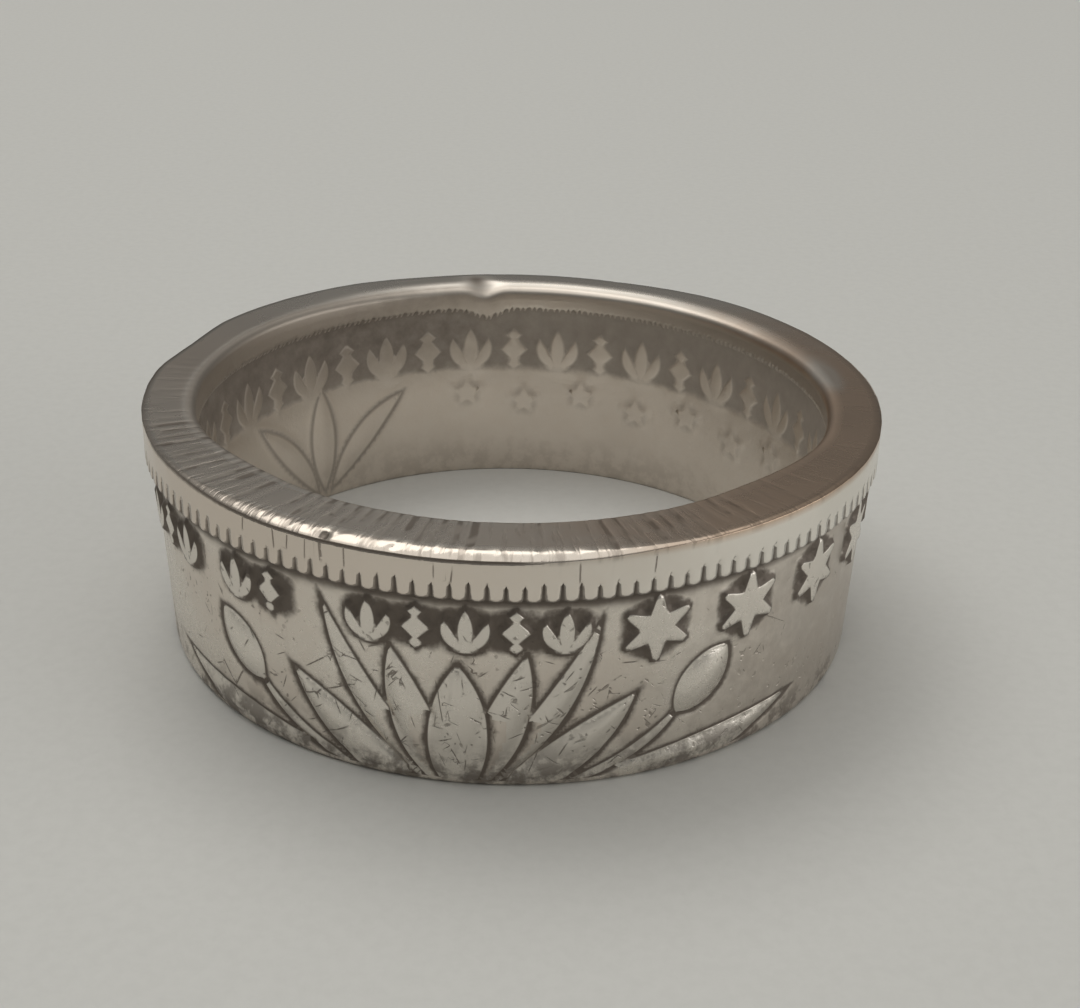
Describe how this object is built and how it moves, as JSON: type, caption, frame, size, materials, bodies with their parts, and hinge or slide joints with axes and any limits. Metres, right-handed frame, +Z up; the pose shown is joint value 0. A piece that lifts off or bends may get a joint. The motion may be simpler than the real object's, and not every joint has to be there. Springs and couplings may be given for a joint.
{
  "type": "coin ring",
  "caption": "Wide finger ring folded from a struck silver coin, with a toothed rim on top and raised ornament on the leaning wall.",
  "frame": {"origin": "centre of the circle that the thin lower edge rests on", "axes": "+Z up along the finger axis towards the thick toothed rim, -Y towards the front of the ornament, +X to its right"},
  "size_m": [0.025, 0.025, 0.0081],
  "materials": {
    "worn_silver": "worn, softly polished coin silver with dark brown tarnish left in the recesses"
  },
  "bodies": {
    "root": {"coin_ring": "worn_silver"}
  },
  "joints": []
}
